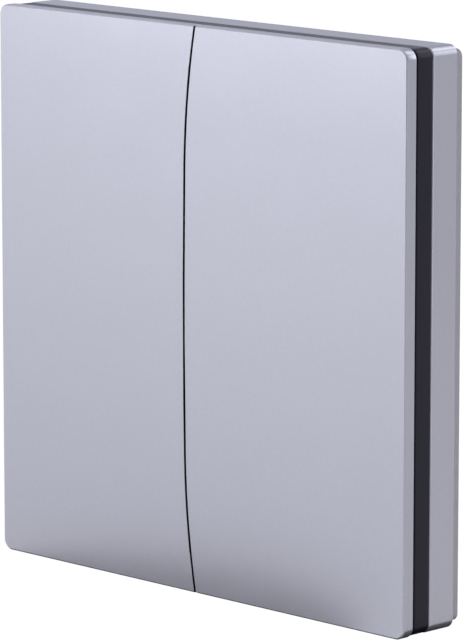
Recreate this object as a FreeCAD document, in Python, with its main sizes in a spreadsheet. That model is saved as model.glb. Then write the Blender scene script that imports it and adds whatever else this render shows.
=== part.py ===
import FreeCAD, Part
import math
import os
import re
import Sketcher

# Two-key wireless wall switch.
# Frame: +X to the right, +Z up, the front faces -Y. The origin is the centre of the wall face.
# A level is a height over the wall, so a point at level d lies at y = -d.

# Driving sizes in millimetres
SIZES = {
    # Keys
    "key_width": 86.0,
    "key_height": 86.0,
    "key_radius": 1.7,
    "key_edge": 0.22,
    "key_side": 2.0,
    "key_face": 1.2,
    "key_wall": 1.3,
    "key_gap": 0.4,
    "key_middle_inset": 21.0,
    "rib_thick": 0.8,
    "rib_spread": 13.0,
    "rib_pitch": 14.0,
    # Curved seam between the keys
    "seam_gap": 0.33,
    "seam_bow": 2.385,
    "seam_middle_radius": 1200.0,
    "seam_middle_reach": 22.0,
    "seam_end_radius": 124.0,
    # Wall plate
    "plate_thick": 1.2,
    "plate_side_inset": 0.2,
    "plate_top_inset": 0.85,
    "plate_bottom_inset": 1.0,
    "plate_radius": 1.1,
    "plate_edge": 0.1,
    "wall_slot_spacing": 60.0,
    "wall_slot_width": 4.2,
    "wall_slot_length": 8.0,
    "pry_width": 12.0,
    "pry_depth": 1.2,
    # Clips of the wall plate in the base's floor
    "clip_x": 24.0,
    "clip_inset": 6.5,
    "clip_width": 6.0,
    "clip_thick": 1.1,
    "clip_nose": 0.8,
    "clip_nose_rise": 0.9,
    "clip_play": 0.1,
    "clip_room": 0.4,
    # Base housing
    "base_depth": 5.2,
    "base_inset": 0.1,
    "base_radius": 1.5,
    "base_wall": 1.6,
    "base_floor": 1.2,
    "base_edge": 0.15,
    "pocket_width": 13.0,
    "pocket_height": 9.0,
    "pocket_depth": 2.2,
    "pocket_wall": 1.0,
    "post_inset": 2.5,
    "post_z": 16.0,
    "post_width": 2.6,
    "post_play": 0.05,
    # Dark carrier
    "carrier_depth": 3.2,
    "carrier_inset": 0.15,
    "carrier_radius": 1.55,
    "carrier_wall": 1.8,
    "carrier_seat": 2.7,
    "deck_thick": 1.2,
    "spigot_depth": 1.0,
    "spigot_thick": 1.0,
    "spigot_play": 0.1,
    # Hinges at the top of the keys
    "hinge_inset": 4.5,
    "hinge_drop": 1.1,
    "bar_radius": 0.8,
    "bar_play": 0.05,
    "hook_wall": 0.75,
    "hook_width": 5.0,
    "hook_spread": 11.0,
    "hook_mouth": 1.3,
    "hook_room": 0.4,
    "ear_thick": 1.2,
    "ear_height": 2.0,
    # Catches at the bottom of the keys
    "catch_inset": 4.5,
    "catch_width": 4.0,
    "catch_thick": 1.0,
    "catch_nose": 0.8,
    "catch_nose_rise": 0.7,
    "catch_spread": 14.0,
    "catch_play": 0.1,
    "catch_room": 0.4,
    # Press points and tactile switches
    "strike_inset": 14.0,
    "strike_radius": 2.0,
    "strike_gap": 0.05,
    "gusset_reach": 4.0,
    "gusset_thick": 0.8,
    "switch_size": 5.2,
    "switch_rise": 0.9,
    "switch_skin": 0.3,
    "switch_room": 0.5,
    "switch_travel": 0.2,
    "cover_thick": 0.2,
    "plunger_radius": 1.0,
    "plunger_rise": 0.5,
    "plunger_play": 0.08,
    "flange_radius": 1.7,
    "flange_thick": 0.3,
    # Coin cell, its holder, contacts and lid
    "cell_z": 8.0,
    "cell_radius": 10.0,
    "cell_thick": 3.2,
    "cell_cap_radius": 8.8,
    "cell_cap_rise": 0.25,
    "cell_edge": 0.3,
    "holder_play": 0.25,
    "holder_wall": 1.2,
    "holder_rise": 2.5,
    "holder_gap": 8.0,
    "contact_thick": 0.25,
    "contact_rise": 0.4,
    "contact_width": 4.0,
    "contact_foot": 3.0,
    "leaf_width": 3.0,
    "leaf_length": 11.0,
    "dimple_radius": 1.3,
    "lid_gap": 1.1,
    "lid_thick": 1.0,
    "lid_play": 0.05,
    "lid_room": 0.2,
    "lid_neck": 0.9,
    "lug_reach": 1.4,
    "lug_rise": 0.7,
    "lug_turn": 34.0,
    "notch_room": 3.0,
    "coin_slot_length": 14.0,
    "coin_slot_width": 1.8,
    "coin_slot_depth": 0.5,
    # Circuit board and what it carries
    "board_inset_x": 10.0,
    "board_inset_z": 9.0,
    "board_radius": 1.5,
    "board_thick": 1.0,
    "board_gap": 0.5,
    "chip_size": 5.0,
    "chip_rise": 0.8,
    "chip_side": 12.5,
    "chip_inset": 16.0,
    "can_side": 14.5,
    "can_width": 13.0,
    "can_height": 10.0,
    "can_rise": 1.8,
    "can_wall": 0.25,
    "crystal_side": 18.0,
    "crystal_width": 2.5,
    "crystal_height": 3.2,
    "crystal_rise": 0.7,
    "bulk_side": 19.0,
    "bulk_width": 6.0,
    "bulk_height": 3.2,
    "bulk_rise": 1.6,
    "small_width": 1.6,
    "small_height": 0.8,
    "small_rise": 0.7,
    "small_pitch": 2.6,
    "small_inset": 9.0,
    "small_count": 6,
    "led_z": 0.0,
    "led_width": 1.6,
    "led_height": 0.8,
    "led_rise": 0.45,
    "led_window": 1.3,
    "antenna_inset": 4.0,
    "antenna_length": 22.0,
    "antenna_rise": 1.6,
    "antenna_leg": 5.0,
    "antenna_wire": 0.6,
    # Screws
    "housing_screw_side": 5.5,
    "housing_screw_inset": 12.0,
    "housing_boss_width": 5.8,
    "housing_boss_rise": 2.0,
    "housing_screw_radius": 1.0,
    "housing_screw_length": 5.6,
    "housing_head_radius": 1.9,
    "housing_head_thick": 0.8,
    "head_sink": 1.0,
    "head_room": 0.3,
    "board_screw_side": 4.0,
    "board_screw_inset": 5.0,
    "board_boss_width": 4.0,
    "board_screw_radius": 0.8,
    "board_screw_length": 2.2,
    "board_head_radius": 1.5,
    "board_head_thick": 0.7,
    "screw_play": 0.02,
    "hole_room": 0.2,
    "cross_length": 1.7,
    "cross_width": 0.4,
    "cross_depth": 0.4,
}

# Levels over the wall and other sizes that follow from the driving ones
DERIVED = {
    "base_back": "plate_thick",
    "base_front": "base_back + base_depth",
    "carrier_front": "base_front + carrier_depth",
    "key_back": "carrier_front + key_gap",
    "key_front": "key_back + key_side",
    "face_back": "key_front - key_face",
    "floor_front": "base_back + base_floor",
    "lid_back": "base_back + lid_play",
    "lid_front": "lid_back + lid_thick",
    "cell_back": "lid_front + lid_play",
    "lug_front": "floor_front + lid_play + lug_rise",
    "cell_front": "cell_back + cell_thick",
    "board_back": "cell_front + contact_rise",
    "board_front": "board_back + board_thick",
    "deck_back": "board_front + board_gap",
    "deck_front": "deck_back + deck_thick",
    "switch_front": "board_front + switch_rise",
    "cover_front": "switch_front + cover_thick",
    "plunger_front": "cover_front + plunger_rise",
    "strike_level": "plunger_front + strike_gap",
    "hinge_level": "key_back - hinge_drop",
    "hook_radius": "bar_radius + bar_play + hook_wall",
    "half_width": "key_width / 2",
    "half_height": "key_height / 2",
    "key_centre": "half_width - key_middle_inset",
    "hinge_z": "half_height - hinge_inset",
    "catch_z": "half_height - catch_inset",
    "strike_z": "half_height - strike_inset",
    "clip_z": "half_height - clip_inset",
    "board_half_x": "half_width - board_inset_x",
    "board_half_z": "half_height - board_inset_z",
    "post_x": "board_half_x - post_inset",
    "chip_x": "board_half_x - chip_side",
    "can_x": "board_half_x - can_side",
    "crystal_x": "board_half_x - crystal_side",
    "bulk_x": "board_half_x - bulk_side",
    "chip_z": "board_half_z - chip_inset",
    "small_z": "board_half_z - small_inset",
    "antenna_z": "board_half_z - antenna_inset",
    "housing_screw_x": "half_width - housing_screw_side",
    "housing_screw_z": "half_height - housing_screw_inset",
    "board_screw_x": "board_half_x - board_screw_side",
    "board_screw_z": "board_half_z - board_screw_inset",
    "lid_radius": "cell_radius + lid_gap + lid_neck",
    "base_inside_x": "half_width - base_inset - base_wall",
    "base_inside_z": "half_height - base_inset - base_wall",
    "slot_x": "wall_slot_spacing / 2",
    "boss_joint": "floor_front + housing_boss_rise",
    "housing_head_level": "base_back + head_sink - housing_head_thick",
    "seam_cosine": "sqrt(1 - (seam_middle_reach / seam_middle_radius)^2)",
    "seam_sine": "seam_middle_reach / seam_middle_radius",
    "seam_centre": "seam_middle_radius - seam_bow",
    "seam_end_x": "seam_centre - (seam_middle_radius - seam_end_radius) * seam_cosine",
    "seam_end_z": "(seam_middle_radius - seam_end_radius) * seam_sine",
}

V = FreeCAD.Vector
SIDES = {"left": -1, "right": 1}
BOTH = (-1, 1)
CORNERS = [(a, b) for a in BOTH for b in BOTH]
CROSSWISE = [(-1, 1), (1, -1)]
MIDDLE = ("0", "0")

doc = FreeCAD.newDocument("wall_switch")
sheet = doc.addObject("Spreadsheet::Sheet", "Sizes")
for row, (alias, value) in enumerate(SIZES.items(), start=1):
    sheet.set(f"A{row}", alias)
    sheet.set(f"B{row}", str(value))
    sheet.setAlias(f"B{row}", alias)
doc.recompute()


def expression(text):
    """Words that name a size become references to the sheet, and derived ones their formula."""

    def swap(match):
        word = match.group(0)
        if word in SIZES:
            return f"Sizes.{word}"
        if word in DERIVED:
            return f"({expression(DERIVED[word])})"
        return word

    return re.sub(r"[a-z_]+", swap, str(text))


def size(text):
    """The value of a size or of a formula over sizes."""
    return float(sheet.evalExpression(expression(text)))


def bind(owner, path, text):
    """Ties one property of an object to a formula over the sheet."""
    owner.setExpression(path, expression(text))


# Sketches, and closed outlines in them


def new_body(label):
    """An empty body whose label names the piece."""
    body = doc.addObject("PartDesign::Body", f"{label}_body")
    body.Label = label
    return body


def plane_sketch(body, role, name, shift):
    """A sketch on one of the body's own origin planes, moved by three formulas."""
    sketch = body.newObject("Sketcher::SketchObject", f"{body.Label}_{name}_sketch")
    plane = next(f for f in body.Origin.OriginFeatures if f.Role == role)
    sketch.AttachmentSupport = [(plane, "")]
    sketch.MapMode = "FlatFace"
    for axis, text in zip("xyz", shift):
        bind(sketch, f"AttachmentOffset.Base.{axis}", text)
    return sketch


def dimension(sketch, kind, places, text):
    """A dimension whose value follows a formula."""
    index = sketch.addConstraint(Sketcher.Constraint(kind, *places, size(text)))
    bind(sketch, f"Constraints[{index}]", text)


def pin(sketch, item, point, across=None, along=None):
    """Places a point of the sketch from its origin."""
    for kind, text in (("DistanceX", across), ("DistanceY", along)):
        if text is not None:
            dimension(sketch, kind, (-1, 1, item, point), text)


def rule(sketch, kind, *places):
    """A constraint without a value."""
    sketch.addConstraint(Sketcher.Constraint(kind, *places))


def line(sketch, start, end):
    return sketch.addGeometry(Part.LineSegment(V(*start), V(*end)), False)


def arc(sketch, centre, radius, start, end):
    """An arc from one angle to another, in radians and counter-clockwise."""
    circle_of_arc = Part.Circle(V(*centre), V(0, 0, 1), radius)
    return sketch.addGeometry(Part.ArcOfCircle(circle_of_arc, start, end), False)


def box(sketch, left, low, right, high):
    """A rectangle between two corners."""
    x0, z0, x1, z1 = (size(v) for v in (left, low, right, high))
    corners = [(x0, z0), (x1, z0), (x1, z1), (x0, z1)]
    sides = [line(sketch, corners[i], corners[(i + 1) % 4]) for i in range(4)]
    for i in range(4):
        rule(sketch, "Coincident", sides[i], 2, sides[(i + 1) % 4], 1)
        rule(sketch, "Horizontal" if i % 2 == 0 else "Vertical", sides[i])
    pin(sketch, sides[0], 1, left, low)
    pin(sketch, sides[2], 1, right, high)


def block(sketch, across, along, half_width, half_height):
    """A rectangle about a centre."""
    ends = [f"{across} - ({half_width})", f"{along} - ({half_height})"]
    box(sketch, *ends, f"{across} + {half_width}", f"{along} + {half_height}")


def plate(sketch, left, low, right, high, radius):
    """A rectangle with round corners."""
    x0, z0, x1, z1, r = (size(v) for v in (left, low, right, high, radius))
    ends = [
        ((x0 + r, z0), (x1 - r, z0)),
        ((x1, z0 + r), (x1, z1 - r)),
        ((x1 - r, z1), (x0 + r, z1)),
        ((x0, z1 - r), (x0, z0 + r)),
    ]
    centres = [(x1 - r, z0 + r), (x1 - r, z1 - r), (x0 + r, z1 - r), (x0 + r, z0 + r)]
    sides = [line(sketch, *pair) for pair in ends]
    quarter = math.pi / 2
    rounds = [arc(sketch, c, r, (i - 1) * quarter, i * quarter) for i, c in enumerate(centres)]
    for i in range(4):
        rule(sketch, "Tangent", sides[i], 2, rounds[i], 1)
        rule(sketch, "Tangent", rounds[i], 2, sides[(i + 1) % 4], 1)
        rule(sketch, "Horizontal" if i % 2 == 0 else "Vertical", sides[i])
    for other in rounds[1:]:
        rule(sketch, "Equal", rounds[0], other)
    dimension(sketch, "Radius", (rounds[0],), radius)
    pin(sketch, sides[3], 1, left)
    pin(sketch, sides[0], 1, None, low)
    pin(sketch, sides[1], 1, right)
    pin(sketch, sides[2], 1, None, high)


def disc(sketch, across, along, radius):
    """A circle."""
    centre = V(size(across), size(along))
    item = sketch.addGeometry(Part.Circle(centre, V(0, 0, 1), size(radius)), False)
    pin(sketch, item, 3, across, along)
    dimension(sketch, "Radius", (item,), radius)


def slot(sketch, across, along, length, width):
    """A slot with round ends that runs across."""
    x, z, reach, r = size(across), size(along), size(f"({length} - {width}) / 2"), size(f"{width} / 2")
    top = line(sketch, (x + reach, z + r), (x - reach, z + r))
    left = arc(sketch, (x - reach, z), r, math.pi / 2, 1.5 * math.pi)
    bottom = line(sketch, (x - reach, z - r), (x + reach, z - r))
    right = arc(sketch, (x + reach, z), r, -math.pi / 2, math.pi / 2)
    for first, second in ((top, left), (left, bottom), (bottom, right), (right, top)):
        rule(sketch, "Tangent", first, 2, second, 1)
    rule(sketch, "Horizontal", top)
    dimension(sketch, "Radius", (left,), f"{width} / 2")
    pin(sketch, left, 3, f"{across} - ({length} - {width}) / 2", along)
    pin(sketch, right, 3, f"{across} + ({length} - {width}) / 2")


def key_outline(sketch, side, inset):
    """A key's outline: round outer corners and the curved seam, all drawn in by an inset."""
    # The seam is a long flat arc between two tighter ones that meet it in a tangent
    shift = f"{side} * (seam_gap / 2 + {inset})"
    edge, top = size(f"half_width - {inset}"), size(f"half_height - {inset}")
    r = size(f"key_radius - min({inset}; key_radius - 0.4)")
    middle_x = size(f"seam_centre + {shift}")
    end_x, end_z = size(f"seam_end_x + {shift}"), size("seam_end_z")
    middle_r, end_r = size("seam_middle_radius"), size("seam_end_radius")
    half_turn = math.asin(size("seam_sine"))
    tip_turn = math.asin((top - end_z) / end_r)
    tip_x = end_x - end_r * math.cos(tip_turn)
    far = side * edge
    corner_x = far - side * r
    outer = line(sketch, (far, top - r), (far, -top + r))
    lower = line(sketch, (corner_x, -top), (tip_x, -top))
    upper = line(sketch, (tip_x, top), (corner_x, top))
    quarter = math.pi / 2
    if side < 0:
        low_round = arc(sketch, (corner_x, -top + r), r, 2 * quarter, 3 * quarter)
        high_round = arc(sketch, (corner_x, top - r), r, quarter, 2 * quarter)
        low_ends, high_ends = (1, 2), (2, 1)
    else:
        low_round = arc(sketch, (corner_x, -top + r), r, -quarter, 0)
        high_round = arc(sketch, (corner_x, top - r), r, 0, quarter)
        low_ends, high_ends = (2, 1), (1, 2)
    # On the seam's arcs, angles near pi look from the centre on the right back to the left
    high_arc = arc(sketch, (end_x, end_z), end_r, math.pi - tip_turn, math.pi - half_turn)
    mid_arc = arc(sketch, (middle_x, 0), middle_r, math.pi - half_turn, math.pi + half_turn)
    low_arc = arc(sketch, (end_x, -end_z), end_r, math.pi + half_turn, math.pi + tip_turn)
    rule(sketch, "Tangent", outer, 2, low_round, low_ends[0])
    rule(sketch, "Tangent", low_round, low_ends[1], lower, 1)
    rule(sketch, "Coincident", lower, 2, low_arc, 2)
    rule(sketch, "Tangent", low_arc, 1, mid_arc, 2)
    rule(sketch, "Tangent", mid_arc, 1, high_arc, 2)
    rule(sketch, "Coincident", high_arc, 1, upper, 1)
    rule(sketch, "Tangent", upper, 2, high_round, high_ends[1])
    rule(sketch, "Tangent", high_round, high_ends[0], outer, 1)
    rule(sketch, "Vertical", outer)
    rule(sketch, "Horizontal", lower)
    rule(sketch, "Horizontal", upper)
    rule(sketch, "Equal", low_round, high_round)
    dimension(sketch, "Radius", (low_round,), f"key_radius - min({inset}; key_radius - 0.4)")
    dimension(sketch, "Radius", (mid_arc,), "seam_middle_radius")
    dimension(sketch, "Radius", (high_arc,), "seam_end_radius")
    rule(sketch, "Equal", high_arc, low_arc)
    pin(sketch, outer, 1, f"{side} * (half_width - {inset})")
    pin(sketch, lower, 1, None, f"-(half_height - {inset})")
    pin(sketch, upper, 1, None, f"half_height - {inset}")
    pin(sketch, mid_arc, 3, f"seam_centre + {shift}", "0")
    pin(sketch, mid_arc, 1, None, "seam_middle_reach")
    pin(sketch, mid_arc, 2, None, "-seam_middle_reach")


def seam_at(height):
    """The formula of the seam's place across at a height."""
    middle = f"seam_centre - sqrt(seam_middle_radius^2 - ({height})^2)"
    end = f"seam_end_x - sqrt(seam_end_radius^2 - (abs({height}) - seam_end_z)^2)"
    return f"(abs({height}) <= seam_middle_reach ? {middle} : {end})"


def sector(sketch, inner, outer, turn):
    """A piece of a ring about the sketch's origin, with its middle straight up."""
    near, far, half_turn = size(inner), size(outer), math.radians(size(turn) / 2)
    low, high = math.pi / 2 - half_turn, math.pi / 2 + half_turn

    def point(radius, angle):
        return (radius * math.cos(angle), radius * math.sin(angle))

    inner_arc = arc(sketch, (0, 0), near, low, high)
    outer_arc = arc(sketch, (0, 0), far, low, high)
    right = line(sketch, point(near, low), point(far, low))
    left = line(sketch, point(far, high), point(near, high))
    rule(sketch, "Coincident", inner_arc, 1, right, 1)
    rule(sketch, "Coincident", right, 2, outer_arc, 1)
    rule(sketch, "Coincident", outer_arc, 2, left, 1)
    rule(sketch, "Coincident", left, 2, inner_arc, 2)
    for item, radius in ((inner_arc, inner), (outer_arc, outer)):
        rule(sketch, "Coincident", item, 3, -1, 1)
        dimension(sketch, "Radius", (item,), radius)
        pin(sketch, item, 1, f"({radius}) * sin({turn} / 2)")
        pin(sketch, item, 2, f"-({radius}) * sin({turn} / 2)")


def hook_outline(sketch):
    """A hinge hook seen from the side: a C round the hinge bar, with its mouth to the wall."""
    deep, height = -size("hinge_level"), size("hinge_z")
    outer_r, inner_r = size("hook_radius"), size("bar_radius + bar_play")
    mouth = size("hook_mouth / 2")
    root = -size("face_back")
    outer_turn, inner_turn = math.asin(mouth / outer_r), math.asin(mouth / inner_r)
    outer_x = deep + outer_r * math.cos(outer_turn)
    inner_x = deep + inner_r * math.cos(inner_turn)
    centre = (deep, height)
    quarter = math.pi / 2
    upper = line(sketch, (root, height + outer_r), (deep, height + outer_r))
    upper_arc = arc(sketch, centre, outer_r, outer_turn, quarter)
    upper_lip = line(sketch, (outer_x, height + mouth), (inner_x, height + mouth))
    bore = arc(sketch, centre, inner_r, inner_turn, 4 * quarter - inner_turn)
    lower_lip = line(sketch, (inner_x, height - mouth), (outer_x, height - mouth))
    lower_arc = arc(sketch, centre, outer_r, -quarter, -outer_turn)
    lower = line(sketch, (deep, height - outer_r), (root, height - outer_r))
    back = line(sketch, (root, height - outer_r), (root, height + outer_r))
    rule(sketch, "Tangent", upper, 2, upper_arc, 2)
    rule(sketch, "Coincident", upper_arc, 1, upper_lip, 1)
    rule(sketch, "Coincident", upper_lip, 2, bore, 1)
    rule(sketch, "Coincident", bore, 2, lower_lip, 1)
    rule(sketch, "Coincident", lower_lip, 2, lower_arc, 2)
    rule(sketch, "Tangent", lower_arc, 1, lower, 1)
    rule(sketch, "Coincident", lower, 2, back, 1)
    rule(sketch, "Coincident", back, 2, upper, 1)
    for flat in (upper, upper_lip, lower_lip, lower):
        rule(sketch, "Horizontal", flat)
    rule(sketch, "Vertical", back)
    rule(sketch, "Coincident", upper_arc, 3, bore, 3)
    rule(sketch, "Coincident", upper_arc, 3, lower_arc, 3)
    pin(sketch, upper_arc, 3, "-hinge_level", "hinge_z")
    dimension(sketch, "Radius", (upper_arc,), "hook_radius")
    dimension(sketch, "Radius", (lower_arc,), "hook_radius")
    dimension(sketch, "Radius", (bore,), "bar_radius + bar_play")
    pin(sketch, upper_lip, 1, None, "hinge_z + hook_mouth / 2")
    pin(sketch, lower_lip, 1, None, "hinge_z - hook_mouth / 2")
    pin(sketch, back, 1, "-face_back")


def polygon(sketch, points):
    """A closed outline of straight lines through points given as pairs of formulas."""
    places = [(size(a), size(b)) for a, b in points]
    count = len(places)
    sides = [line(sketch, places[i], places[(i + 1) % count]) for i in range(count)]
    for i in range(count):
        rule(sketch, "Coincident", sides[i], 2, sides[(i + 1) % count], 1)
        pin(sketch, sides[i], 1, *points[i])


# Features


def draw(sketch, outlines):
    """Draws outlines, each a function and its sizes."""
    for make, *sizes in outlines:
        make(sketch, *sizes)


def shape_feature(body, kind, name, sketch, length):
    """A pad or pocket of a sketch."""
    feature = body.newObject(f"PartDesign::{kind}", f"{body.Label}_{name}")
    feature.Profile = sketch
    bind(feature, "Length", length)
    return feature


def grow(body, name, low, high, outlines, height="0"):
    """Adds material between two levels, from a sketch whose origin lies at a height."""
    sketch = plane_sketch(body, "XZ_Plane", name, ("0", height, low))
    draw(sketch, outlines)
    return shape_feature(body, "Pad", name, sketch, f"({high}) - ({low})")


def cut(body, name, low, high, outlines, height="0"):
    """Takes material away between two levels, from a sketch whose origin lies at a height."""
    sketch = plane_sketch(body, "XZ_Plane", name, ("0", height, high))
    draw(sketch, outlines)
    return shape_feature(body, "Pocket", name, sketch, f"({high}) - ({low})")


def repeat_round(body, feature, count):
    """Copies a feature round the origin of its own sketch."""
    pattern = body.newObject("PartDesign::PolarPattern", f"{feature.Name}_pattern")
    pattern.Originals = [feature]
    pattern.Axis = (feature.Profile[0], ["N_Axis"])
    pattern.Angle = 360
    pattern.Occurrences = count
    body.Tip = pattern
    return pattern


def grow_across(body, name, left, right, outlines):
    """Adds material between two places along X, from a side view."""
    sketch = plane_sketch(body, "YZ_Plane", name, ("0", "0", left))
    draw(sketch, outlines)
    return shape_feature(body, "Pad", name, sketch, f"({right}) - ({left})")


def spin(body, name, across, along, points):
    """Turns a side outline about an axis through the piece, points being level and radius."""
    sketch = plane_sketch(body, "YZ_Plane", name, ("0", along, across))
    polygon(sketch, [(f"-({level})", radius) for level, radius in points])
    feature = body.newObject("PartDesign::Revolution", f"{body.Label}_{name}")
    feature.Profile = sketch
    feature.ReferenceAxis = (sketch, ["H_Axis"])
    feature.Angle = 360
    return feature


def edges_at_level(shape, level):
    """Names of the edges that lie flat at a level."""
    boxes = [edge.BoundBox for edge in shape.Edges]
    found = [abs(b.YMin + level) < 1e-5 and abs(b.YMax + level) < 1e-5 for b in boxes]
    return [f"Edge{index}" for index, flat in enumerate(found, start=1) if flat]


def bevel(body, names, amount):
    """Bevels edges of the body's last feature."""
    feature = body.newObject("PartDesign::Chamfer", f"{body.Label}_bevel")
    feature.Base = (feature.BaseFeature, names)
    bind(feature, "Size", amount)
    return feature


# The pieces


def make_key(label):
    """A key: thin face with a skirt, ribs, hinge hooks, catches and a strike boss."""
    side = SIDES[label]
    body = new_body(f"{label}_key")
    centre = f"{side} * key_centre"
    grow(body, "block", "key_back", "key_front", [(key_outline, side, "0")])
    doc.recompute()
    bevel(body, edges_at_level(body.Shape, size("key_front")), "key_edge")
    cut(body, "hollow", "key_back", "face_back", [(key_outline, side, "key_wall")])
    # The strike boss, with a cross of gussets behind it
    grow(body, "strike", "strike_level", "face_back", [(disc, centre, "-strike_z", "strike_radius")])
    corner, arm = ("gusset_thick / 2", "gusset_thick / 2"), ("gusset_reach", "gusset_thick / 2")
    quarters = ((1, 1), (-1, 1), (-1, -1), (1, -1))
    cross = []
    for number, (a, b) in enumerate(quarters):
        trio = [arm, corner, arm[::-1]] if number % 2 == 0 else [arm[::-1], corner, arm]
        cross += [(f"{centre} + {a} * {x}", f"-strike_z + {b} * {z}") for x, z in trio]
    grow(body, "gussets", "key_back - key_gap / 4", "face_back", [(polygon, cross)])
    for place in BOTH:
        middle = f"{centre} + {place} * hook_spread"
        ends = (f"{middle} - hook_width / 2", f"{middle} + hook_width / 2")
        grow_across(body, f"hook_{place + 2}", *ends, [(hook_outline,)])
        catch = [
            ("-face_back", "-catch_z - catch_thick / 2"),
            ("-(deck_back - catch_play - catch_nose_rise)", "-catch_z - catch_thick / 2"),
            ("-(deck_back - catch_play - catch_nose_rise)", "-catch_z + catch_thick / 2"),
            ("-(deck_back - catch_play)", "-catch_z + catch_thick / 2 + catch_nose"),
            ("-(deck_back - catch_play)", "-catch_z + catch_thick / 2"),
            ("-face_back", "-catch_z + catch_thick / 2"),
        ]
        middle = f"{centre} + {place} * catch_spread"
        ends = (f"{middle} - catch_width / 2", f"{middle} + catch_width / 2")
        grow_across(body, f"catch_{place + 2}", *ends, [(polygon, catch)])
    # Ribs run to the middle of the skirt's wall, so that they grow into it
    reach_z = "half_height - key_wall / 2"
    ribs = []
    for place in BOTH:
        ribs.append((block, f"{centre} + {place} * rib_spread", "0", "rib_thick / 2", reach_z))
    grow(body, "ribs_up", "key_back", "face_back", ribs)
    ribs = []
    for place in range(-2, 3):
        middle = f"{place} * rib_pitch"
        at_seam = f"{seam_at(middle)} + {side} * (seam_gap + key_wall) / 2"
        at_edge = f"{side} * (half_width - key_wall / 2)"
        left, right = (at_edge, at_seam) if side < 0 else (at_seam, at_edge)
        ribs.append((box, left, f"{middle} - rib_thick / 2", right, f"{middle} + rib_thick / 2"))
    grow(body, "ribs_across", "key_back", "face_back", ribs)
    return body


def make_carrier():
    """The dark frame behind the keys: rim, deck, windows, hinge bars and bosses."""
    body = new_body("carrier")
    edge_x, edge_z = "half_width - carrier_inset", "half_height - carrier_inset"
    outline = (plate, f"-({edge_x})", f"-({edge_z})", edge_x, edge_z, "carrier_radius")
    grow(body, "rim", "base_front", "carrier_front", [outline])
    well = (block, *MIDDLE, f"{edge_x} - carrier_wall", f"{edge_z} - carrier_wall")
    cut(body, "well", "deck_front", "carrier_front", [well])
    underside = (block, *MIDDLE, f"{edge_x} - carrier_seat", f"{edge_z} - carrier_seat")
    cut(body, "underside", "base_front", "deck_back", [underside])
    # The spigot stands inside the base's wall
    ring_x, ring_z = "base_inside_x - spigot_play", "base_inside_z - spigot_play"
    ring = [
        (block, *MIDDLE, ring_x, ring_z),
        (block, *MIDDLE, f"{ring_x} - spigot_thick", f"{ring_z} - spigot_thick"),
    ]
    grow(body, "spigot", "base_front - spigot_depth", "base_front", ring)
    # Bosses on the back of the deck
    places = [(f"{a} * housing_screw_x", f"{b} * housing_screw_z") for a, b in CORNERS]
    bosses = [(block, x, z, *["housing_boss_width / 2 - head_room"] * 2) for x, z in places]
    grow(body, "housing_bosses", "boss_joint + screw_play", "deck_back", bosses)
    pilots = [(disc, x, z, "housing_screw_radius + screw_play") for x, z in places]
    cut(body, "housing_pilots", "boss_joint + screw_play", "deck_back + deck_thick / 2", pilots)
    places = [(f"{a} * board_screw_x", f"{b} * board_screw_z") for a, b in CROSSWISE]
    bosses = [(block, x, z, *["board_boss_width / 2"] * 2) for x, z in places]
    grow(body, "board_bosses", "board_front", "deck_back", bosses)
    pilots = [(disc, x, z, "board_screw_radius + screw_play") for x, z in places]
    cut(body, "board_pilots", "board_front", "deck_front - deck_thick / 4", pilots)
    # Windows for hooks, catches and switches, and the hole over the light
    windows = []
    for side in SIDES.values():
        centre = f"{side} * key_centre"
        half = "switch_size / 2 + switch_room"
        windows.append((block, centre, "-strike_z", half, half))
        for place in BOTH:
            middle = f"{centre} + {place} * hook_spread"
            half_x, half_z = "hook_width / 2 + hook_room", "hook_radius + hook_room"
            windows.append((block, middle, "hinge_z", half_x, half_z))
            middle, half_x = f"{centre} + {place} * catch_spread", "catch_width / 2 + catch_room"
            low = "-catch_z - catch_thick / 2 - catch_nose - catch_play"
            high = "-catch_z + catch_thick / 2 + catch_play"
            windows.append((box, f"{middle} - ({half_x})", low, f"{middle} + {half_x}", high))
    windows.append((disc, "-seam_bow", "led_z", "led_window"))
    cut(body, "windows", "deck_back", "deck_front", windows)
    # Ears and hinge bars
    ears = []
    for side in SIDES.values():
        for place in BOTH:
            for flank in BOTH:
                aside = f"{flank} * (hook_width / 2 + hook_room + ear_thick / 2)"
                middle = f"{side} * key_centre + {place} * hook_spread + {aside}"
                ears.append((block, middle, "hinge_z", "ear_thick / 2", "ear_height / 2"))
    grow(body, "ears", "deck_front", "hinge_level + bar_radius", ears)
    for side in SIDES.values():
        for place in BOTH:
            middle = f"{side} * key_centre + {place} * hook_spread"
            half = "hook_width / 2 + hook_room + ear_thick / 2"
            name = f"bar_{side + 2}_{place + 2}"
            bar = [(disc, "-hinge_level", "hinge_z", "bar_radius")]
            grow_across(body, name, f"{middle} - ({half})", f"{middle} + {half}", bar)
    return body


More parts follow.
